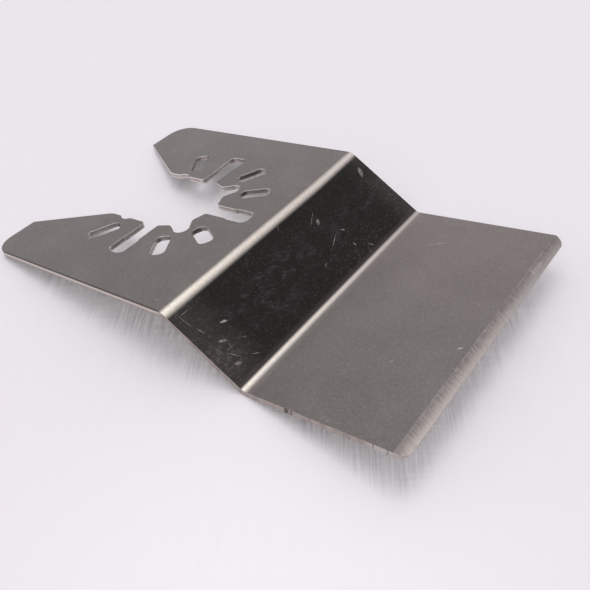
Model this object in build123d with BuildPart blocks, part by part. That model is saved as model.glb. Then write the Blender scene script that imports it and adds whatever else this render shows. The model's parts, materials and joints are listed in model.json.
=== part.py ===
from build123d import *
from math import asin, atan2, cos, hypot, pi, radians, sin, sqrt, tan
import os

# A rigid scraper blade for an oscillating multi-tool, made of one stamped, Z-bent and ground sheet of
# stainless steel. Sizes are in millimetres. It lies as on a table, at rest on the heel of the lower bend and
# on the tips of the rear prongs. +Z is up, +X points from the prongs to the cutting edge, and +Y to the left
# of somebody looking along +X. The origin is at the table, under the middle of the blade.

# Sheet
sheet_width = 52.0
sheet_thickness = 1.0
bend_inside_radius = 1.4
edge_roll_radius = 0.15

# Lengths along the sheet, seen square to the mount plate
rear_reach = 25.6
arbor_to_upper_bend = 21.4
web_run = 13.3
web_drop = 10.7
scraper_length = 27.8
scraper_rise_degrees = 2.0

# Outline corners
rear_corner_radius = 4.2
front_corner_radius = 1.8

# Ground bevel on the upper face of the cutting edge
bevel_width = 1.6
edge_land = 0.12

# Throat between the prongs, measured from the arbor axis
throat_half_width = 8.0
tab_tip_radius = 8.05
tab_tip_rounding = 1.2
flare_half_width = 16.4
flare_blend_radius = 3.0

# Round notches, beside the tabs in front and in the throat's sides behind, and the straight side behind those
notch_radius = 1.5
notch_turn = 45.0
front_notch_reach = 9.8
notch_mouth_half_turn = 14.5
rear_notch_depth = 0.64
notch_lip_rounding = 0.9
straight_side_length = 2.65

# Slots that are open to the throat, straight ahead and to both sides
front_slot_width = 3.1
side_slot_width = 3.5
side_slot_turn = 90.0
open_slot_reach = 17.35
open_slot_step = 0.2
open_slot_step_reach = 12.9
open_slot_end_rounding = 1.3
open_slot_mouth_rounding = 0.7

# Closed slots
closed_slot_width = 2.85
closed_slot_rounding = 1.1
front_closed_slot_turns = (30.0, 60.0)
front_closed_slot_inner_reach = 11.6
front_closed_slot_outer_reach = 17.3
rear_closed_slot_turns = (120.0,)
rear_closed_slot_inner_reach = 12.0
rear_closed_slot_outer_reach = 18.3

# How far a cut runs past the metal, how close a corner has to be to a wanted place to be picked,
# and how nearly a face has to point the wanted way
overrun = 3.0
pick_tolerance = 0.05
level_cosine = cos(radians(0.5))

# Sizes that follow from the ones above
half_width = sheet_width / 2
web_angle = atan2(web_drop, web_run)
scraper_angle = radians(scraper_rise_degrees)
middle_bend_radius = bend_inside_radius + sheet_thickness / 2
heel_radius = bend_inside_radius + sheet_thickness
flat_to_heel_turn = web_angle + scraper_angle
rear_notch_side = throat_half_width + rear_notch_depth - notch_radius
rear_notch_back = rear_notch_side / tan(radians(notch_turn))
notch_lip_half_width = sqrt(notch_radius**2 - (notch_radius - rear_notch_depth) ** 2)
flare_start = -rear_notch_back - notch_lip_half_width - straight_side_length


def shifted(point, direction, distance):
    """The point moved along a direction given as an angle in the side view."""
    return (point[0] + distance * cos(direction), point[1] + distance * sin(direction))


def below(point, direction_before, direction_after, depth):
    """The corner of the line that runs a given depth under a bent line."""
    half_turn = (direction_after - direction_before) / 2
    normal = (direction_before + direction_after) / 2 - pi / 2
    return shifted(point, normal, depth / cos(half_turn))


# Side view with the mount plate level: the sheet's upper face, from the prongs to the cutting edge.
# The arbor axis meets the upper face at zero.
upper_bend = (arbor_to_upper_bend, 0)
lower_bend = (arbor_to_upper_bend + web_run, -web_drop)
rear_top = (-rear_reach, 0)
front_top = shifted(lower_bend, scraper_angle, scraper_length)

# The same line half a thickness down
middle_rear = below(rear_top, 0, 0, sheet_thickness / 2)
middle_upper_bend = below(upper_bend, 0, -web_angle, sheet_thickness / 2)
middle_lower_bend = below(lower_bend, -web_angle, scraper_angle, sheet_thickness / 2)
middle_front = below(front_top, scraper_angle, scraper_angle, sheet_thickness / 2)

# Centre of the heel's arc, above the lower bend on the line that halves its corner
bisector = (scraper_angle - web_angle) / 2 + pi / 2
heel_center = shifted(middle_lower_bend, bisector, middle_bend_radius / cos(flat_to_heel_turn / 2))

# The blade rests on the rear lower corner and on the heel, so it leans back until both are level.
rear_bottom = (-rear_reach, -sheet_thickness)
span_to_heel = (heel_center[0] - rear_bottom[0], heel_center[1] - rear_bottom[1])
lean = -atan2(span_to_heel[1], span_to_heel[0]) + asin(heel_radius / hypot(span_to_heel[0], span_to_heel[1]))


def turned(point):
    """The point after the blade has leaned back about the arbor's point on the upper face."""
    return (point[0] * cos(lean) - point[1] * sin(lean), point[0] * sin(lean) + point[1] * cos(lean))


front_bottom = below(front_top, scraper_angle, scraper_angle, sheet_thickness)
rear_end = turned(rear_top)[0]
front_end = turned(front_bottom)[0]
table = turned(rear_bottom)[1]
center = (rear_end + front_end) / 2


def placed(point):
    """A point of the level side view, in the resting blade's own frame."""
    leaned = turned(point)
    return (leaned[0] - center, leaned[1] - table)


arbor = placed((0, 0))
mount_plane = Plane(
    origin=(arbor[0], 0, arbor[1]),
    x_dir=(cos(lean), 0, sin(lean)),
    z_dir=(-sin(lean), 0, cos(lean)),
)
scraper_lean = lean + scraper_angle
bevel_corner = placed(front_top)
bevel_plane = Plane(
    origin=(bevel_corner[0], 0, bevel_corner[1]),
    x_dir=(cos(scraper_lean), 0, sin(scraper_lean)),
    z_dir=(0, -1, 0),
)


def polar(reach, turn):
    """A point of the slot pattern, by its distance from the arbor axis and its turn from straight ahead."""
    return (reach * cos(radians(turn)), reach * sin(radians(turn)))


def mouthed_notch(turn):
    """A round notch whose mouth widens to the tips of the two tabs beside it."""
    middle = polar(front_notch_reach, turn)
    side = (-notch_radius * sin(radians(turn)), notch_radius * cos(radians(turn)))
    with Locations(middle):
        Circle(notch_radius)
    Polygon(
        polar(tab_tip_radius, turn - notch_mouth_half_turn),
        (middle[0] - side[0], middle[1] - side[1]),
        (middle[0] + side[0], middle[1] + side[1]),
        polar(tab_tip_radius, turn + notch_mouth_half_turn),
        align=None,
    )


def open_slot(turn, width):
    """A slot that starts at the arbor axis, with walls that step out a little at the step's reach."""
    half = width / 2
    Polygon(
        (0, -half),
        (open_slot_step_reach - open_slot_step, -half),
        (open_slot_step_reach + open_slot_step, -half - open_slot_step),
        (open_slot_reach, -half - open_slot_step),
        (open_slot_reach, half + open_slot_step),
        (open_slot_step_reach + open_slot_step, half + open_slot_step),
        (open_slot_step_reach - open_slot_step, half),
        (0, half),
        rotation=turn,
        align=None,
    )


def reach_of(vertex):
    """Distance of a sketch corner from the arbor axis."""
    return hypot(vertex.X, vertex.Y)


def near(value, wanted):
    """Whether a size is the wanted one within the pick tolerance."""
    return abs(value - wanted) < pick_tolerance


# Outline of the throat with its notches and open slots, level, with the arbor axis at zero
with BuildSketch() as throat:
    Circle(tab_tip_radius)
    with BuildLine():
        Polyline(
            (0, -throat_half_width),
            (0, throat_half_width),
            (flare_start, throat_half_width),
            (-rear_reach, flare_half_width),
            (-rear_reach - overrun, flare_half_width),
            (-rear_reach - overrun, -flare_half_width),
            (-rear_reach, -flare_half_width),
            (flare_start, -throat_half_width),
            close=True,
        )
    make_face()
    for side in (1, -1):
        mouthed_notch(side * notch_turn)
        with Locations((-rear_notch_back, side * rear_notch_side)):
            Circle(notch_radius)
        open_slot(side * side_slot_turn, side_slot_width)
    open_slot(0, front_slot_width)

    slot_ends = throat.vertices().filter_by(lambda v: open_slot_reach < reach_of(v) < rear_reach)
    fillet(slot_ends, radius=open_slot_end_rounding)
    flare_starts = throat.vertices().filter_by(lambda v: near(v.X, flare_start))
    fillet(flare_starts, radius=flare_blend_radius)
    throat_side = throat.vertices().filter_by(lambda v: near(abs(v.Y), throat_half_width))
    notch_lips = throat_side.filter_by(lambda v: near(abs(v.X + rear_notch_back), notch_lip_half_width))
    fillet(notch_lips, radius=notch_lip_rounding)
    throat_ring = throat.vertices().filter_by(lambda v: near(reach_of(v), tab_tip_radius))
    tab_tips = throat_ring.filter_by(lambda v: min(abs(v.X), abs(v.Y)) > side_slot_width)
    fillet(tab_tips, radius=tab_tip_rounding)
    inner_corners = throat.vertices().filter_by(lambda v: reach_of(v) < front_notch_reach)
    slot_mouths = inner_corners.filter_by(
        lambda v: min(abs(v.X), abs(v.Y)) < side_slot_width / 2 + pick_tolerance
    )
    fillet(slot_mouths, radius=open_slot_mouth_rounding)


def closed_slots(turns, inner_reach, outer_reach):
    """Closed slots that point at the arbor axis, on both sides of the blade."""
    for turn in turns:
        for side in (1, -1):
            middle = polar((inner_reach + outer_reach) / 2, side * turn)
            with Locations(Location((middle[0], middle[1], 0), (0, 0, side * turn))):
                RectangleRounded(outer_reach - inner_reach, closed_slot_width, closed_slot_rounding)


# The blade
with BuildPart() as scraper_blade:
    # Bent sheet
    with BuildSketch(Plane.XZ) as side_view:
        with BuildLine() as middle_line:
            Polyline(
                placed(middle_rear),
                placed(middle_upper_bend),
                placed(middle_lower_bend),
                placed(middle_front),
            )
            bends = middle_line.vertices().sort_by(Axis.X)[1:-1]
            fillet(bends, radius=middle_bend_radius)
        trace(line_width=sheet_thickness)
    extrude(amount=half_width, both=True)

    # Rounded corners of the outline
    corners = scraper_blade.edges().filter_by(lambda e: near(e.length, sheet_thickness))
    rear_corners = corners.sort_by(Axis.X)[:2]
    front_corners = corners.sort_by(Axis.X)[-2:]
    fillet(rear_corners, radius=rear_corner_radius)
    fillet(front_corners, radius=front_corner_radius)

    # Throat and slots, square to the mount plate
    with BuildSketch(mount_plane):
        add(throat.sketch)
        closed_slots(
            front_closed_slot_turns,
            front_closed_slot_inner_reach,
            front_closed_slot_outer_reach,
        )
        closed_slots(
            rear_closed_slot_turns,
            rear_closed_slot_inner_reach,
            rear_closed_slot_outer_reach,
        )
    extrude(amount=overrun, both=True, mode=Mode.SUBTRACT)

    # Ground bevel: a wedge off the upper face in front
    with BuildSketch(bevel_plane):
        with BuildLine():
            Polyline(
                (-bevel_width, 0),
                (0, edge_land - sheet_thickness),
                (overrun, edge_land - sheet_thickness),
                (overrun, overrun),
                (-bevel_width, overrun),
                close=True,
            )
        make_face()
    extrude(amount=half_width + overrun, both=True, mode=Mode.SUBTRACT)

    # Rolled edge that stamping leaves round the upper face
    flat_faces = scraper_blade.faces().filter_by(GeomType.PLANE)
    upward = flat_faces.filter_by(lambda f: f.normal_at().dot(mount_plane.z_dir) > level_cosine)
    seat = upward.sort_by(SortBy.AREA)[-1]
    outline_edges = seat.edges().filter_by(lambda e: not near(e.length, sheet_width))
    fillet(outline_edges, radius=edge_roll_radius)

scraper_blade.part.label = "scraper_blade"
os.makedirs("parts", exist_ok=True)
export_step(scraper_blade.part, "parts/scraper_blade.step")
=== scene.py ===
import json
import math
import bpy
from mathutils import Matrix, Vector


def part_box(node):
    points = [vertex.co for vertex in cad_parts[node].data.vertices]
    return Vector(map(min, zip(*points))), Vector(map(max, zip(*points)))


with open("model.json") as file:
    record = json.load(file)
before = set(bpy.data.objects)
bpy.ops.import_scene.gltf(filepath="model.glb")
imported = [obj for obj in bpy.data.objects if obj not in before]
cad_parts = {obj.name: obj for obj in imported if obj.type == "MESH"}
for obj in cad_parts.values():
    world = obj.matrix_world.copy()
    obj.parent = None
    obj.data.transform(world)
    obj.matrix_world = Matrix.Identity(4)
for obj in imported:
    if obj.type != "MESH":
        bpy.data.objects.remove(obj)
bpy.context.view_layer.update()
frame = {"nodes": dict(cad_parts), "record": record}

from types import SimpleNamespace

import bpy
from mathutils import Matrix, Vector

# Everything is in metres, in the frame of the solids: the blade rests on the table at z = 0,
# and +X points from the prongs to the cutting edge. The materials count in millimetres.
MM = 0.001

blade = frame["nodes"]["scraper_blade"]

# The normal of a flat face of the upper side looks up at least this much, and aside no more than this
LEAST_UP = 0.3
MOST_ASIDE = 0.01


# Places that the finishes follow, all read from the solid, in millimetres
def flat_upper_faces(mesh, count):
    """Middle and normal of the largest flat faces that look up, from the prongs to the cutting edge.
    Polygons of one tilt, to a tenth of a degree, belong to one face."""
    groups = {}
    for polygon in mesh.polygons:
        normal = polygon.normal
        if normal.z > LEAST_UP and abs(normal.y) < MOST_ASIDE:
            tilt = round(math.degrees(math.atan2(normal.x, normal.z)), 1)
            groups.setdefault(tilt, []).append(polygon)
    by_area = sorted(groups.values(), key=lambda group: sum(polygon.area for polygon in group))
    chosen = [max(group, key=lambda polygon: polygon.area) for group in by_area[-count:]]
    faces = [(polygon.center / MM, polygon.normal.copy()) for polygon in chosen]
    return sorted(faces, key=lambda face: face[0].x)


def crossing(first, second):
    """Corner of the side view where two of these faces would meet."""
    (point_a, normal_a), (point_b, normal_b) = first, second
    across = normal_a.x * normal_b.z - normal_a.z * normal_b.x
    reach_a = normal_a.dot(point_a)
    reach_b = normal_b.dot(point_b)
    corner_x = (reach_a * normal_b.z - reach_b * normal_a.z) / across
    corner_z = (normal_a.x * reach_b - normal_b.x * reach_a) / across
    return Vector((corner_x, 0, corner_z))


def mount_named(name):
    return next(mount for mount in frame["record"]["mounts"] if mount["name"] == name)


MOUNT_FACE, WEB_FACE, SCRAPER_FACE, BEVEL_FACE = flat_upper_faces(blade.data, 4)
UPPER_BEND = crossing(MOUNT_FACE, WEB_FACE)
LOWER_BEND = crossing(WEB_FACE, SCRAPER_FACE)
BEVEL_LINE = crossing(SCRAPER_FACE, BEVEL_FACE)
WEB_MIDDLE_X = (UPPER_BEND.x + LOWER_BEND.x) / 2
ARBOR = Vector(mount_named("arbor_pattern")["pos_m"]) / MM
FRONT_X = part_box("scraper_blade")[1].x / MM
HALF_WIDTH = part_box("scraper_blade")[1].y / MM


def srgb(red, green, blue):
    """Linear colour of a colour given in the usual 0 to 255 steps."""
    def linear(level):
        part = level / 255
        return part / 12.92 if part <= 0.04045 else ((part + 0.055) / 1.055) ** 2.4
    return (linear(red), linear(green), linear(blue), 1.0)


# Colours of the blade's parts, where two are given at its near side (-Y) and its far side (+Y). Where two
# are given, their difference is painted light.
# Plate colours: the far one is painted lighter, as painted light across the plates
PLATE_NEAR_SHADED = srgb(118, 114, 110)
PLATE_FAR_LIT = srgb(133, 126, 123)
PLATE_SHADE = srgb(86, 82, 79)
PLATE_GRAIN = srgb(150, 145, 140)
UNDERSIDE = srgb(142, 136, 130)
# The web's near black is painted: it stands for its dark reflection
WEB_DARK_REFLECTION = srgb(43, 41, 39)
WEB_CLOUD = srgb(90, 92, 96)
WEB_DUST = srgb(128, 122, 118)
WEB_RIM_SHEEN = srgb(84, 80, 78)
# Painted highlights of the upper and the lower bend
BEND_HIGHLIGHT_NEAR = srgb(228, 221, 209)
BEND_HIGHLIGHT_FAR = srgb(215, 206, 198)
LOW_BEND_HIGHLIGHT_NEAR = srgb(224, 216, 206)
LOW_BEND_HIGHLIGHT_FAR = srgb(186, 178, 172)
# Bevel colours: its foot's lighter colour is a painted sheen, and its near and far colours differ as
# painted light
BEVEL_TOP_NEAR = srgb(142, 136, 132)
BEVEL_TOP_FAR = srgb(128, 122, 119)
BEVEL_FOOT_NEAR_SHEEN = srgb(200, 191, 185)
BEVEL_FOOT_FAR_SHEEN = srgb(160, 154, 150)
BEVEL_STREAK = srgb(190, 183, 177)
BEVEL_SHADE = srgb(112, 106, 102)
BEVEL_ARRIS_HIGHLIGHT = srgb(150, 144, 141)
# Cut edges: a painted highlight, which also lights shear streaks; a pale colour, which on the mount plate's
# outer edges is a painted reflection of the shaded table; and painted shade at the rolled arris
CUT_HIGHLIGHT_AND_STREAK = srgb(224, 215, 204)
CUT_PALE = srgb(166, 156, 151)
# Painted shade at the rolled arris of the mount plate's edges
CUT_ROLL_SHADE = srgb(74, 69, 67)
# Slot walls: painted highlights at the lip and the foot, and a darker colour for painted shade in the
# crease and for shear streaks
SLOT_LIP_HIGHLIGHT = srgb(250, 245, 241)
SLOT_SHADE_AND_STREAK = srgb(138, 129, 124)
SLOT_WALL = srgb(204, 195, 190)
SLOT_FOOT_HIGHLIGHT = srgb(226, 218, 213)
# Colour of light scratches and specks, and of a few painted glints
SCRATCH_AND_GLINT_LIGHT = srgb(205, 200, 194)
SCRATCH_DARK = srgb(48, 44, 42)

# Scratches, specks, rubbed spots and a few painted glints, in millimetres and degrees: middle x from the
# place that the row's list is given with, middle y, length, width, turn from +X, and strength, below zero
# if dark
WEB_MARKS = (
    (-8.4, -19.7, 1.3, 0.45, 70, 0.75),
    (-10.9, 7.2, 3.6, 0.12, -62, 0.5),
    (-9.9, 7.6, 1.3, 0.6, -55, 0.5),
    (-6.1, 7.0, 2.7, 0.12, -66, 0.6),
    (-6.4, 10.2, 0.8, 0.22, 40, 0.6),
    (-11.4, 23.6, 2.3, 0.9, -35, 0.5),
    (-6.7, -11.8, 1.5, 0.14, 0, -0.9),
    (-6.6, -22.3, 1.6, 0.5, 60, 0.4),
    (-5.4, -21.9, 0.9, 0.3, -20, 0.45),
    (-4.1, -22.6, 2.1, 0.16, 35, 0.45),
    (-2.3, -19.9, 1.7, 0.14, 62, 0.4),
    (-5.9, -23.9, 1.5, 0.14, 15, 0.4),
    (-3.0, -23.2, 1.5, 0.5, 70, 0.35),
    (-5.0, -19.2, 1.0, 0.14, 60, 0.4),
    (-12.0, -24.3, 3.3, 0.12, 6, 0.4),
    (-12.8, -23.4, 0.12, 2.4, 0, 0.3),
    (-9.5, -23.6, 1.4, 0.2, 15, 0.4),
    (-13.2, 0.6, 1.1, 0.14, -50, 0.35),
    (-4.3, 1.8, 0.9, 0.14, -50, 0.4),
    (-3.5, 9.6, 0.8, 0.3, 20, 0.4),
    (-1.7, 12.2, 0.9, 0.35, 40, 0.45),
)
MOUNT_MARKS = (
    (19.3, 8.8, 1.5, 0.2, 45, 0.5),
    (17.6, -13.6, 0.5, 0.3, 0, 0.4),
    (18.5, -23.9, 2.2, 0.16, 6, 0.4),
    # A painted glint at the end of the forward slot
    (16.8, 0.7, 0.5, 0.3, 80, 0.7),
    (-22.1, -17.1, 0.5, 0.35, 0, 0.4),
    (-20.2, -14.3, 0.4, 0.35, 0, 0.35),
)
SCRAPER_MARKS = (
    (8.2, 17.3, 4.9, 0.2, 38, 0.5),
    (7.3, 2.1, 0.5, 0.35, 20, -0.6),
    (8.3, 2.3, 0.4, 0.3, 0, -0.6),
    (12.6, -9.7, 1.0, 0.2, -20, 0.45),
    (16.7, -11.6, 0.4, 0.3, 0, 0.6),
    (15.8, -7.9, 0.4, 0.3, 0, -0.55),
    (5.1, -5.8, 0.35, 0.3, 0, 0.4),
    (24.2, -5.3, 0.95, 0.34, 35, 0.85),
    (21.4, 14.5, 0.75, 0.16, 40, 0.6),
    (16.1, 11.1, 0.35, 0.3, 0, 0.55),
    (21.7, 7.6, 0.3, 0.25, 0, 0.45),
    (22.2, 4.75, 0.4, 0.25, 30, 0.4),
    (23.1, -3.3, 0.35, 0.25, 0, 0.5),
    (22.3, -4.6, 0.35, 0.25, 0, 0.4),
    (14.0, -25.0, 1.3, 0.18, 60, 0.3),
    (14.8, -25.1, 1.4, 0.18, 75, 0.3),
)
BEVEL_MARKS = (
    (0.7, 16.6, 5.6, 0.7, 90, 0.35),
    # A painted glint: the bright tick on the bevel's upper line
    (0.1, -0.5, 0.5, 0.3, 90, 0.8),
    (0.1, -9.4, 0.9, 0.2, 90, 0.5),
    (0.0, 12.1, 0.7, 0.2, 90, 0.4),
)
EDGE_MARKS = (
    (8.2, -HALF_WIDTH, 1.0, 2.0, 0, -0.8),
    (9.1, -HALF_WIDTH, 0.5, 2.0, 0, -0.5),
    # A painted highlight along the front corner's rounded edge, with dark flecks beside it
    (23.6, -HALF_WIDTH, 5.6, 3.0, 0, 0.7),
    (22.5, -HALF_WIDTH, 0.4, 2.0, 0, -0.4),
    (24.7, -HALF_WIDTH, 0.4, 2.0, 0, -0.4),
)

# A mark is whole up to the first of these shares of its half length and width, and gone at the second.
# It takes in every height of the blade.
MARK_WHOLE = 0.4
MARK_GONE = 1.15
ANY_HEIGHT = 1e6


class Tree:
    """Short ways to add nodes to one node tree. Inputs are numbers, colours or outputs of other nodes."""

    def __init__(self, tree):
        self.tree = tree

    def add(self, kind, **settings):
        node = self.tree.nodes.new(kind)
        for name, value in settings.items():
            setattr(node, name, value)
        return node

    def feed(self, socket, value):
        if isinstance(value, bpy.types.NodeSocket):
            self.tree.links.new(value, socket)
        else:
            socket.default_value = value

    def calc(self, operation, *values, clamp=False):
        node = self.add("ShaderNodeMath", operation=operation, use_clamp=clamp)
        for socket, value in zip(node.inputs, values):
            self.feed(socket, value)
        return node.outputs[0]

    def chain(self, operation, values):
        result = values[0]
        for value in values[1:]:
            result = self.calc(operation, result, value)
        return result

    def times(self, *values):
        return self.chain("MULTIPLY", values)

    def most(self, *values):
        return self.chain("MAXIMUM", values)

    def split(self, vector):
        """The three parts of a vector."""
        node = self.add("ShaderNodeSeparateXYZ")
        self.feed(node.inputs[0], vector)
        return node.outputs

    def length(self, vector):
        node = self.add("ShaderNodeVectorMath", operation="LENGTH")
        self.feed(node.inputs[0], vector)
        return node.outputs["Value"]

    def ramp(self, value, low, high):
        """Smooth step from 0 at low to 1 at high; low may be the larger."""
        node = self.add("ShaderNodeMapRange", interpolation_type="SMOOTHSTEP")
        flip = low > high
        limits = (min(low, high), max(low, high), float(flip), float(not flip))
        for socket, item in zip(node.inputs, (value, *limits)):
            self.feed(socket, item)
        return node.outputs[0]

    def band(self, value, low, high, soft):
        """1 between low and high, with soft sides."""
        rise = self.ramp(value, low - soft, low + soft)
        fall = self.ramp(value, high + soft, high - soft)
        return self.times(rise, fall)

    def mix(self, share, first, second):
        node = self.add("ShaderNodeMix", data_type="RGBA")
        self.feed(node.inputs[0], share)
        self.feed(node.inputs[6], first)
        self.feed(node.inputs[7], second)
        return node.outputs[2]

    def tint(self, colour, other, value, low, high, share):
        """The colour, with up to a share of the other one as the value goes from low to high."""
        return self.mix(self.times(self.ramp(value, low, high), share), colour, other)

    def blend(self, share, first, second):
        node = self.add("ShaderNodeMix", data_type="FLOAT")
        self.feed(node.inputs[0], share)
        self.feed(node.inputs[2], first)
        self.feed(node.inputs[3], second)
        return node.outputs[0]

    def scaled(self, place, scale, turn=0.0):
        """The place multiplied by a scale along its axes, after the axes are turned about Z."""
        node = self.add("ShaderNodeMapping", vector_type="TEXTURE")
        self.feed(node.inputs[0], place)
        node.inputs[2].default_value = (0, 0, turn)
        node.inputs[3].default_value = [1 / part for part in scale]
        return node.outputs[0]

    def noise(self, place, scale, detail, roughness, distortion=0.0):
        node = self.add("ShaderNodeTexNoise")
        self.feed(node.inputs["Vector"], place)
        node.inputs["Scale"].default_value = scale
        node.inputs["Detail"].default_value = detail
        node.inputs["Roughness"].default_value = roughness
        node.inputs["Distortion"].default_value = distortion
        return node.outputs[0]

    def bump(self, height, strength, depth):
        """The normals of a relief, with its depth in metres."""
        node = self.add("ShaderNodeBump")
        node.inputs["Strength"].default_value = strength
        node.inputs["Distance"].default_value = depth
        self.feed(node.inputs["Height"], height)
        return node.outputs[0]

    def show(self, shader, kind="ShaderNodeOutputMaterial"):
        """Leads a shader to the tree's output."""
        node = self.add(kind)
        self.feed(node.inputs[0], shader.outputs[0])


def new_material(name):
    material = bpy.data.materials.new(name)
    material.use_nodes = True
    material.node_tree.nodes.clear()
    tree = Tree(material.node_tree)
    return material, tree, tree.add("ShaderNodeBsdfPrincipled")


def place_in_mm(t, coords):
    return t.scaled(coords.outputs["Object"], (1 / MM, 1 / MM, 1 / MM))


def marks(t, place, colour, start_x, rows, worn):
    """The colour with short strokes and spots laid over it, a few of them painted glints, broken up where
    they are worn.
    """
    for x, y, length, width, degrees, strength in rows:
        spot = t.add("ShaderNodeMapping", vector_type="TEXTURE")
        t.feed(spot.inputs[0], place)
        spot.inputs[1].default_value = (start_x + x, y, 0)
        spot.inputs[2].default_value = (0, 0, math.radians(degrees))
        spot.inputs[3].default_value = (length / 2, width / 2, ANY_HEIGHT)
        reach = t.length(spot.outputs[0])
        share = t.times(t.ramp(reach, MARK_GONE, MARK_WHOLE), abs(strength), worn)
        colour = t.mix(share, colour, SCRATCH_AND_GLINT_LIGHT if strength > 0 else SCRATCH_DARK)
    return colour


# How far up a face looks: from cut edge to upper face, from flat face to cut edge, and to the underside
UPPER_FACING = (0.3, 0.5)
CUT_FACING = (0.62, 0.5)
UNDER_FACING = (-0.3, -0.5)

# Stretch of the bevel's grinding strokes, and how far they lean
STROKE_STRETCH = (0.5, 3.4, 0.5)
STROKE_TURN = math.radians(-16)


def surface(t):
    """Places and directions on the blade, in millimetres, and the grains that its finishes share.
    Side is 0 at the near side and 1 at the far side."""
    coords = t.add("ShaderNodeTexCoord")
    place = place_in_mm(t, coords)
    x, y, z = t.split(place)
    facing = t.split(coords.outputs["Normal"])[2]
    strokes = t.scaled(place, STROKE_STRETCH, STROKE_TURN)
    return SimpleNamespace(
        place=place,
        x=x,
        y=y,
        z=z,
        facing=facing,
        upper=t.ramp(facing, *UPPER_FACING),
        cut=t.ramp(t.calc("ABSOLUTE", facing), *CUT_FACING),
        from_middle=t.calc("ABSOLUTE", y),
        side=t.calc("MULTIPLY_ADD", y, 0.5 / HALF_WIDTH, 0.5, clamp=True),
        cloud=t.noise(place, scale=0.12, detail=4.0, roughness=0.55),
        fine=t.noise(place, scale=2.6, detail=2.0, roughness=0.6),
        worn=t.ramp(t.noise(place, scale=3.2, detail=3.0, roughness=0.7), 0.36, 0.56),
        stripe=t.noise(strokes, scale=1.0, detail=3.0, roughness=0.7),
    )


# Shares of the far colour, which is painted light, at the mount plate's near and far side
MOUNT_NEAR_LIT_SHARE = 0.07
MOUNT_FAR_LIT_SHARE = 0.2


def plate_colour(t, s):
    """Dull rolled sheet with grain and faint clouds, and painted light: lighter towards its far side, fully
    on the scraper plate and a little on the mount plate.
    """
    on_scraper = t.ramp(s.x, UPPER_BEND.x, LOWER_BEND.x)
    on_mount = t.blend(s.side, MOUNT_NEAR_LIT_SHARE, MOUNT_FAR_LIT_SHARE)
    plate = t.mix(t.blend(on_scraper, on_mount, s.side), PLATE_NEAR_SHADED, PLATE_FAR_LIT)
    plate = t.tint(plate, PLATE_SHADE, s.cloud, low=0.5, high=0.38, share=0.08)
    plate = t.tint(plate, PLATE_GRAIN, s.cloud, low=0.5, high=0.62, share=0.1)
    plate = t.tint(plate, PLATE_GRAIN, s.fine, low=0.48, high=0.66, share=0.22)
    plate = t.tint(plate, PLATE_SHADE, s.fine, low=0.5, high=0.34, share=0.12)
    plate = marks(t, s.place, plate, ARBOR.x, MOUNT_MARKS, s.worn)
    return marks(t, s.place, plate, LOWER_BEND.x, SCRAPER_MARKS, s.worn)


# Direction in which the web is rubbed, stretches of its clouds, rubs and grit, and how much of a cloud
# is left between the rubs
RUB_TURN = math.radians(65)
RUB_STRETCH = (0.3, 3.0, 1.0)
CLOUD_STRETCH = (1.0, 0.6, 1.0)
GRIT_STRETCH = (1.6, 1.0, 1.0)
LEAST_CLOUD = 0.15

# Where the web is cloudy along X, from its middle line, and hazier across, in millimetres, and the
# shares of the clouds elsewhere
CLOUDY = SimpleNamespace(back=2.0, front=2.5, soft=2.6, elsewhere=0.2)
HAZY = SimpleNamespace(near_y=-12.0, far_y=-3.0, soft=5.0, elsewhere=0.5)

# How far dust reaches in from the near and far sides and back from the lower bend, in millimetres:
# whole up to the first reach and gone at the second. Along the bend it lies on the far half only.
# The least dust is found elsewhere on the web, and the most here.
NEAR_DUST = SimpleNamespace(whole=1.0, gone=9.0)
FAR_DUST = SimpleNamespace(whole=0.5, gone=6.0)
BEND_DUST = SimpleNamespace(whole=1.5, gone=5.0, starts_y=-2.0, whole_y=9.0)
LEAST_DUST = 0.10
MOST_DUST = 0.42

# The smudge near the web's near end, between its middle line and the lower bend, the paler rim at that
# bend, which is a painted sheen, the haze over both ends, and how strong the specks are
SMUDGE = SimpleNamespace(from_middle=1.0, from_bend=2.5, soft=1.5, share=0.75)
WEB_RIM_SHEEN_REACH = SimpleNamespace(whole=0.4, gone=1.4, share=0.6)
END_HAZE = 0.13
SPECKS = 0.36


def web_clouds(t, s):
    """Rubbed clouds, broken up along the rubbing."""
    clouds = t.scaled(s.place, CLOUD_STRETCH)
    clouds = t.noise(clouds, scale=0.5, detail=8.0, roughness=0.74, distortion=0.4)
    rubs = t.scaled(s.place, RUB_STRETCH, RUB_TURN)
    rubs = t.ramp(t.noise(rubs, scale=1.0, detail=4.0, roughness=0.75), 0.44, 0.62)
    return t.times(t.ramp(clouds, 0.45, 0.68), t.blend(rubs, LEAST_CLOUD, 1.0))


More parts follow.
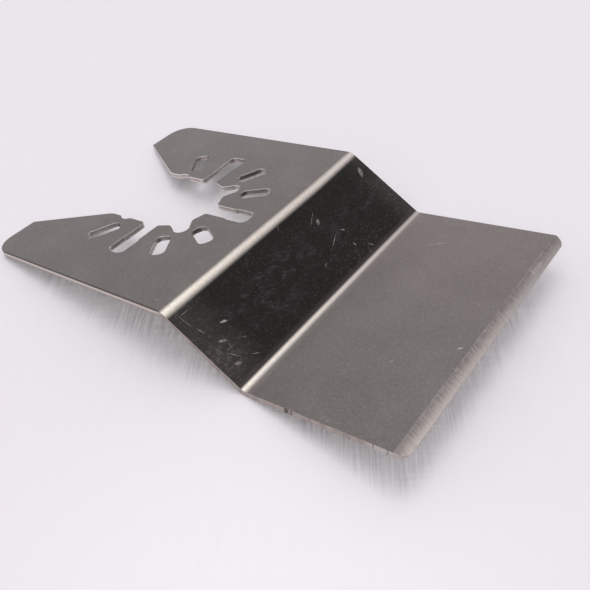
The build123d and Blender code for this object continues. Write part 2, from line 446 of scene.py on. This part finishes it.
def web_colour(t, s, clouds):
    """Polished, and painted near black as its dark reflection, with rubbed clouds along its middle, dust
    near its ends and a painted sheen along the lower bend.
    """
    cloudy = t.band(s.x, WEB_MIDDLE_X - CLOUDY.back, WEB_MIDDLE_X + CLOUDY.front, CLOUDY.soft)
    cloudy = t.blend(cloudy, CLOUDY.elsewhere, 1.0)
    hazy = t.blend(t.band(s.y, HAZY.near_y, HAZY.far_y, HAZY.soft), HAZY.elsewhere, 1.0)
    # Painted dark reflection of the web, with its rubbed clouds
    web = t.mix(t.times(clouds, cloudy, hazy), WEB_DARK_REFLECTION, WEB_CLOUD)

    near_end = t.ramp(s.y, NEAR_DUST.gone - HALF_WIDTH, NEAR_DUST.whole - HALF_WIDTH)
    far_end = t.ramp(s.y, HALF_WIDTH - FAR_DUST.gone, HALF_WIDTH - FAR_DUST.whole)
    far_end = t.times(far_end, t.ramp(s.cloud, 0.3, 0.6))
    by_bend = t.ramp(s.x, LOWER_BEND.x - BEND_DUST.gone, LOWER_BEND.x - BEND_DUST.whole)
    by_bend = t.times(by_bend, t.ramp(s.y, BEND_DUST.starts_y, BEND_DUST.whole_y))
    dusty = t.blend(t.most(near_end, by_bend, far_end), LEAST_DUST, MOST_DUST)
    dust = t.noise(s.place, scale=1.6, detail=5.0, roughness=0.75)
    web = t.tint(web, WEB_DUST, dust, low=0.52, high=0.72, share=dusty)

    smudge = t.band(s.x, WEB_MIDDLE_X + SMUDGE.from_middle, LOWER_BEND.x - SMUDGE.from_bend, SMUDGE.soft)
    grit = t.noise(t.scaled(s.place, GRIT_STRETCH), scale=1.1, detail=8.0, roughness=0.85)
    web = t.tint(web, WEB_DUST, grit, low=0.46, high=0.7, share=t.times(near_end, smudge, SMUDGE.share))
    web = t.mix(t.times(t.most(near_end, far_end), END_HAZE), web, WEB_DUST)
    specks = t.noise(s.place, scale=3.6, detail=1.0, roughness=0.5)
    web = t.tint(web, WEB_DUST, specks, low=0.66, high=0.76, share=SPECKS)
    # Painted sheen on the web along the lower bend
    rim_low = LOWER_BEND.x - WEB_RIM_SHEEN_REACH.gone
    rim_high = LOWER_BEND.x - WEB_RIM_SHEEN_REACH.whole
    web = t.tint(web, WEB_RIM_SHEEN, s.x, low=rim_low, high=rim_high, share=WEB_RIM_SHEEN_REACH.share)
    return marks(t, s.place, web, LOWER_BEND.x, WEB_MARKS, s.worn)


# Painted highlights: bright ribbons painted along the bends, along X from the bend's corner, in
# millimetres.
# The upper one moves back at its far end. The lower one ends earlier there, and has a faint painted glow in
# front of it. Both are mottled, down to the least share of highlight.
UPPER_HIGHLIGHT_RIBBON = SimpleNamespace(begins=-0.6, whole=0.44, fades=0.6, ends=1.56, far_shift=0.4)
LOWER_HIGHLIGHT_RIBBON = SimpleNamespace(begins=-0.55, whole=-0.02, fades=0.28, ends=1.2, far_shift=0.3)
LOWER_HIGHLIGHT_HALO = SimpleNamespace(fades=0.6, ends=2.2, share=0.12)
LEAST_HIGHLIGHT = 0.86


def bend_highlight_shares(t, s):
    """How far each bend's painted highlight reaches: the upper one starts hard beside the mount plate, and
    the lower one fades into the scraper plate and is narrower towards the far side."""
    upper_x = t.calc("MULTIPLY_ADD", t.ramp(s.side, 0.7, 1.1), UPPER_HIGHLIGHT_RIBBON.far_shift, s.x)
    rise = t.ramp(upper_x, UPPER_BEND.x + UPPER_HIGHLIGHT_RIBBON.begins, UPPER_BEND.x + UPPER_HIGHLIGHT_RIBBON.whole)
    fall = t.ramp(upper_x, UPPER_BEND.x + UPPER_HIGHLIGHT_RIBBON.ends, UPPER_BEND.x + UPPER_HIGHLIGHT_RIBBON.fades)
    upper_highlight = t.times(rise, fall)
    lower_x = t.calc("MULTIPLY_ADD", s.side, LOWER_HIGHLIGHT_RIBBON.far_shift, s.x)
    rise = t.ramp(s.x, LOWER_BEND.x + LOWER_HIGHLIGHT_RIBBON.begins, LOWER_BEND.x + LOWER_HIGHLIGHT_RIBBON.whole)
    fall = t.ramp(lower_x, LOWER_BEND.x + LOWER_HIGHLIGHT_RIBBON.ends, LOWER_BEND.x + LOWER_HIGHLIGHT_RIBBON.fades)
    glow = t.ramp(lower_x, LOWER_BEND.x + LOWER_HIGHLIGHT_HALO.ends, LOWER_BEND.x + LOWER_HIGHLIGHT_HALO.fades)
    lower_highlight = t.times(rise, t.most(fall, t.times(glow, LOWER_HIGHLIGHT_HALO.share)))
    mottle = t.blend(t.ramp(s.fine, 0.35, 0.65), LEAST_HIGHLIGHT, 1.0)
    return t.times(upper_highlight, mottle), t.times(lower_highlight, mottle)


# The painted highlight along the bevel's upper line, its arris, in millimetres to both sides of it
ARRIS_HIGHLIGHT = SimpleNamespace(back=0.08, front=0.06, soft=0.05)


def bevel_colour(t, s):
    """Ground across its width, with painted light: lighter towards the cutting edge as a painted sheen, and
    darker towards the far side.
    """
    # Painted light across the bevel: a sheen towards the cutting edge, darker towards the far side
    down = t.ramp(s.x, BEVEL_LINE.x, FRONT_X)
    top = t.mix(s.side, BEVEL_TOP_NEAR, BEVEL_TOP_FAR)
    foot = t.mix(s.side, BEVEL_FOOT_NEAR_SHEEN, BEVEL_FOOT_FAR_SHEEN)
    ground = t.mix(down, top, foot)
    ground = t.tint(ground, BEVEL_STREAK, s.stripe, low=0.48, high=0.68, share=0.34)
    ground = t.tint(ground, BEVEL_SHADE, s.stripe, low=0.5, high=0.34, share=t.blend(down, 0.5, 0.2))
    patches = t.noise(s.place, scale=0.35, detail=3.0, roughness=0.7)
    # Painted highlight along the bevel's upper line, in patches
    arris_highlight = t.band(s.x, BEVEL_LINE.x - ARRIS_HIGHLIGHT.back, BEVEL_LINE.x + ARRIS_HIGHLIGHT.front, ARRIS_HIGHLIGHT.soft)
    ground = t.tint(ground, BEVEL_ARRIS_HIGHLIGHT, patches, low=0.4, high=0.6, share=arris_highlight)
    return marks(t, s.place, ground, BEVEL_LINE.x, BEVEL_MARKS, s.worn)


# Reach of the slot pattern round the arbor, and how softly it and the throat's front fade, in
# millimetres. The slots' look is gone this far from the sides and whole a little further in.
PATTERN_REACH = 19.0
PATTERN_SOFT = 0.4
THROAT_SOFT = 1.0
SIDE_GAP = SimpleNamespace(gone=1.0, whole=1.5)

# Depths below the mount plate's upper face at which its cut edges' painted highlights, shade and reflection
# change, in millimetres
LIP_HIGHLIGHT = SimpleNamespace(whole=0.18, gone=0.3)
CREASE_SHADE = SimpleNamespace(top=0.3, foot=0.38, soft=0.1, share=0.8)
FOOT_HIGHLIGHT = SimpleNamespace(gone=0.7, whole=0.95)
ROLL_SHADE = SimpleNamespace(whole=0.12, gone=0.3, share=0.8)
PALE_REFLECTION = SimpleNamespace(gone=0.35, whole=0.95)

# The look of the mount plate's edges ends between these places along X, from the upper bend's corner
MOUNT_EDGE = SimpleNamespace(whole=-1.5, gone=0.5)

# Stretch of the streaks that shearing leaves down the cut edges
SHEAR_STRETCH = (1.0, 1.0, 0.2)


def slot_share(t, s):
    """1 on the walls of the slots and the throat, 0 on the outer cut edges."""
    around = t.add("ShaderNodeVectorMath", operation="SUBTRACT")
    t.feed(around.inputs[0], s.place)
    around.inputs[1].default_value = ARBOR
    from_arbor = t.length(around.outputs[0])
    in_pattern = t.ramp(from_arbor, PATTERN_REACH + PATTERN_SOFT, PATTERN_REACH - PATTERN_SOFT)
    in_throat = t.ramp(s.x, ARBOR.x, ARBOR.x - THROAT_SOFT)
    off_side = t.ramp(s.from_middle, HALF_WIDTH - SIDE_GAP.gone, HALF_WIDTH - SIDE_GAP.whole)
    return t.times(t.most(in_pattern, in_throat), off_side, t.ramp(s.x, UPPER_BEND.x, 0.0))


def cut_colour(t, s):
    """Sheared edges. On the outer ones of the mount plate painted shade at the rolled arris lies above a
    painted highlight band, which fades down into a painted reflection of the shaded table. The slots' walls
    have a painted highlight at the lip above, painted shade in a crease under it and a painted highlight at
    the foot."""
    middle_point, up = MOUNT_FACE
    height = t.calc("ADD", t.times(s.x, up.x), t.times(s.z, up.z))
    depth = t.calc("SUBTRACT", up.dot(middle_point), height)
    streaks = t.noise(t.scaled(s.place, SHEAR_STRETCH), scale=0.9, detail=3.0, roughness=0.6)

    # Slot walls: shear streaks, a painted highlight at the foot, painted shade in the crease and a painted
    # highlight at the lip
    wall = t.tint(SLOT_WALL, SLOT_SHADE_AND_STREAK, streaks, low=0.35, high=0.65, share=0.4)
    wall = t.mix(t.ramp(depth, FOOT_HIGHLIGHT.gone, FOOT_HIGHLIGHT.whole), wall, SLOT_FOOT_HIGHLIGHT)
    crease_shade = t.band(depth, CREASE_SHADE.top, CREASE_SHADE.foot, CREASE_SHADE.soft)
    wall = t.mix(t.times(crease_shade, CREASE_SHADE.share), wall, SLOT_SHADE_AND_STREAK)
    wall = t.mix(t.ramp(depth, LIP_HIGHLIGHT.gone, LIP_HIGHLIGHT.whole), wall, SLOT_LIP_HIGHLIGHT)

    # Outer edges of the mount plate: painted shade at the rolled arris over a painted highlight that fades
    # down into a painted reflection of the shaded table; elsewhere plain edges with light streaks
    on_mount = t.ramp(s.x, UPPER_BEND.x + MOUNT_EDGE.gone, UPPER_BEND.x + MOUNT_EDGE.whole)
    outer = t.mix(t.ramp(depth, PALE_REFLECTION.gone, PALE_REFLECTION.whole), CUT_HIGHLIGHT_AND_STREAK, CUT_PALE)
    outer = t.tint(outer, CUT_ROLL_SHADE, depth, low=ROLL_SHADE.gone, high=ROLL_SHADE.whole, share=ROLL_SHADE.share)
    plain = t.tint(CUT_PALE, CUT_HIGHLIGHT_AND_STREAK, streaks, low=0.35, high=0.65, share=0.3)
    outer = t.mix(on_mount, plain, outer)
    outer = marks(t, s.place, outer, LOWER_BEND.x, EDGE_MARKS, 1.0)
    return t.mix(slot_share(t, s), outer, wall)


# Where the web's look ends before the lower bend, where the bevel's begins before its line, and the painted
# shade line along the mount plate's sides, at its rolled arris, in millimetres
WEB_END_GAP = 0.35
WEB_SOFT = 0.1
BEVEL_START = SimpleNamespace(gone=0.2, whole=0.1)
ROLLED_LINE_SHADE = SimpleNamespace(gone=0.3, whole=0.14, share=0.8)

# Roughness of each finish, and the relief of the grain, of which the web has only a share
PLATE_ROUGH = 0.36
WEB_ROUGH = 0.10
CLOUD_ROUGH = 0.24
BEND_ROUGH = 0.42
CUT_ROUGH = 0.38
GRAIN_STRENGTH = 0.12
GRAIN_DEPTH = 0.02 * MM
WEB_GRAIN = 0.1


def steel():
    """Rolled stainless sheet: dull plates, polished sloping web, bright bends, ground bevel, cut edges,
    with painted light:
    shading across the plates, the web's dark reflection, highlights on the bends, sheen on the bevel, and
    highlights, shade and reflection on the cut edges.
    """
    material, t, shader = new_material("stainless_sheet")
    s = surface(t)
    clouds = web_clouds(t, s)
    # Masks of the painted highlights on the bends
    upper_highlight, lower_highlight = [t.times(share, s.upper) for share in bend_highlight_shares(t, s)]
    in_web = t.band(s.x, UPPER_BEND.x + UPPER_HIGHLIGHT_RIBBON.fades, LOWER_BEND.x - WEB_END_GAP, WEB_SOFT)
    in_web = t.times(in_web, s.upper)
    in_bevel = t.ramp(s.x, BEVEL_LINE.x - BEVEL_START.gone, BEVEL_LINE.x - BEVEL_START.whole)
    in_bevel = t.times(in_bevel, s.upper)
    # Painted shade: a dark line along the mount plate's sides, at the rolled arris
    rolled_shade = t.ramp(s.from_middle, HALF_WIDTH - ROLLED_LINE_SHADE.gone, HALF_WIDTH - ROLLED_LINE_SHADE.whole)
    beside_mount = t.ramp(s.x, UPPER_BEND.x, UPPER_BEND.x + MOUNT_EDGE.whole)
    rolled_shade = t.times(rolled_shade, beside_mount, s.upper, ROLLED_LINE_SHADE.share)

    colour = t.mix(t.ramp(s.facing, *UNDER_FACING), plate_colour(t, s), UNDERSIDE)
    colour = t.mix(in_web, colour, web_colour(t, s, clouds))
    # Painted highlights on the lower and the upper bend
    colour = t.mix(lower_highlight, colour, t.mix(s.side, LOW_BEND_HIGHLIGHT_NEAR, LOW_BEND_HIGHLIGHT_FAR))
    colour = t.mix(upper_highlight, colour, t.mix(s.side, BEND_HIGHLIGHT_NEAR, BEND_HIGHLIGHT_FAR))
    colour = t.mix(in_bevel, colour, bevel_colour(t, s))
    colour = t.mix(rolled_shade, colour, CUT_ROLL_SHADE)
    colour = t.mix(s.cut, colour, cut_colour(t, s))
    t.feed(shader.inputs["Base Color"], colour)
    shader.inputs["Metallic"].default_value = 1.0

    rough = t.blend(in_web, PLATE_ROUGH, t.blend(clouds, WEB_ROUGH, CLOUD_ROUGH))
    rough = t.blend(t.most(upper_highlight, lower_highlight), rough, BEND_ROUGH)
    rough = t.blend(s.cut, rough, CUT_ROUGH)
    t.feed(shader.inputs["Roughness"], rough)

    grain = t.times(s.fine, t.blend(in_web, 1.0, WEB_GRAIN))
    relief = t.blend(in_bevel, grain, s.stripe)
    t.feed(shader.inputs["Normal"], t.bump(relief, GRAIN_STRENGTH, GRAIN_DEPTH))
    t.show(shader)
    return material


# The table: its size in metres, its colours, its brushing, which is crossed, and its gloss
FLOOR_SIZE = 4.0
FLOOR = srgb(237, 233, 234)
FLOOR_DULL = srgb(234, 231, 234)
FLOOR_FRESH = srgb(236, 233, 236)
BRUSH_TURN = math.radians(125)
BRUSH_STRETCH = (0.1, 5.0, 1.0)
CROSS_STRETCH = (5.0, 0.1, 1.0)
CROSS_SHARE = 0.35
DULL_ROUGH = 0.36
FRESH_ROUGH = 0.46
FLOOR_METAL = 0.12
FLOOR_SPECULAR = 0.5
BRUSH_STRENGTH = 0.05
BRUSH_DEPTH = 0.03 * MM

# Shares of the table's own colour that keep its shadows pale, along its dark and its light streaks
DARK_STREAK_LIFT = 0.06
LIGHT_STREAK_LIFT = 0.29


def floor_material():
    """A pale frosted table with fine crossed brushing, which shows where it mirrors the blade."""
    material, t, shader = new_material("pale_floor")
    place = place_in_mm(t, t.add("ShaderNodeTexCoord"))
    brush, cross = [
        t.noise(t.scaled(place, stretch, BRUSH_TURN), scale=1.0, detail=3.0, roughness=0.65)
        for stretch in (BRUSH_STRETCH, CROSS_STRETCH)
    ]
    weave = t.blend(CROSS_SHARE, brush, cross)
    fresh = t.ramp(weave, 0.38, 0.62)
    t.feed(shader.inputs["Base Color"], t.mix(fresh, FLOOR_DULL, FLOOR_FRESH))
    t.feed(shader.inputs["Roughness"], t.blend(fresh, DULL_ROUGH, FRESH_ROUGH))
    shader.inputs["Specular IOR Level"].default_value = FLOOR_SPECULAR
    shader.inputs["Metallic"].default_value = FLOOR_METAL
    t.feed(shader.inputs["Normal"], t.bump(weave, BRUSH_STRENGTH, BRUSH_DEPTH))

    rays = t.add("ShaderNodeLightPath")
    glow = t.add("ShaderNodeEmission")
    glow.inputs[0].default_value = FLOOR
    lift = t.add("ShaderNodeMixShader")
    share = t.blend(fresh, DARK_STREAK_LIFT, LIGHT_STREAK_LIFT)
    t.feed(lift.inputs[0], t.times(rays.outputs["Is Camera Ray"], share))
    t.feed(lift.inputs[1], shader.outputs[0])
    t.feed(lift.inputs[2], glow.outputs[0])
    t.show(lift)
    return material


# Blade
blade.data.materials.clear()
blade.data.materials.append(steel())

# Floor
bpy.ops.mesh.primitive_plane_add(size=FLOOR_SIZE, location=(0, 0, 0))
floor = bpy.context.object
floor.name = "floor"
floor.data.materials.append(floor_material())

# World: a pale room that the camera and metal see at full strength, and a little weaker as light
BACKDROP = srgb(238, 235, 239)
AMBIENT = 0.97
world = bpy.data.worlds.new("studio")
bpy.context.scene.world = world
world.use_nodes = True
world.node_tree.nodes.clear()
w = Tree(world.node_tree)
rays = w.add("ShaderNodeLightPath")
shown = w.most(*[rays.outputs[f"Is {kind} Ray"] for kind in ("Camera", "Glossy", "Transmission")])
background = w.add("ShaderNodeBackground")
background.inputs[0].default_value = BACKDROP
w.feed(background.inputs[1], w.blend(shown, AMBIENT, 1.0))
w.show(background, "ShaderNodeOutputWorld")

# Lamp: a wide soft sun from above, a little behind and to the left
SUN_DIRECTION = Vector((-0.22, 0.16, 0.96)).normalized()
SUN_ANGLE = math.radians(35)
SUN_STRENGTH = 0.55
sun_data = bpy.data.lights.new("soft_sun", "SUN")
sun_data.angle = SUN_ANGLE
sun_data.energy = SUN_STRENGTH
sun = bpy.data.objects.new("soft_sun", sun_data)
bpy.context.scene.collection.objects.link(sun)
sun.rotation_mode = "QUATERNION"
sun.rotation_quaternion = SUN_DIRECTION.to_track_quat("Z", "Y")

# Camera: the point of the table that it aims at, how far away it is and how it looks at it, in metres
# and degrees, with azimuth 0 from the near side (-Y), and a slight roll
CAMERA_AIM = Vector((0.01044, -0.00439, 0.0))
CAMERA_DISTANCE = 0.1206
CAMERA_AZIMUTH = math.radians(39.78)
CAMERA_ELEVATION = math.radians(43.18)
CAMERA_ROLL = math.radians(-4.54)
CAMERA_LENS = 43.275
NEAREST_SEEN = 0.005
FARTHEST_SEEN = 20.0
back = Vector((
    math.sin(CAMERA_AZIMUTH) * math.cos(CAMERA_ELEVATION),
    -math.cos(CAMERA_AZIMUTH) * math.cos(CAMERA_ELEVATION),
    math.sin(CAMERA_ELEVATION),
))
camera_data = bpy.data.cameras.new("camera")
camera_data.lens = CAMERA_LENS
camera_data.clip_start = NEAREST_SEEN
camera_data.clip_end = FARTHEST_SEEN
camera = bpy.data.objects.new("camera", camera_data)
bpy.context.scene.collection.objects.link(camera)
turn = (-back).to_track_quat("-Z", "Y").to_matrix() @ Matrix.Rotation(CAMERA_ROLL, 3, "Z")
camera.matrix_world = Matrix.Translation(CAMERA_AIM + back * CAMERA_DISTANCE) @ turn.to_4x4()
bpy.context.scene.camera = camera

bpy.context.scene.view_settings.view_transform = "Standard"
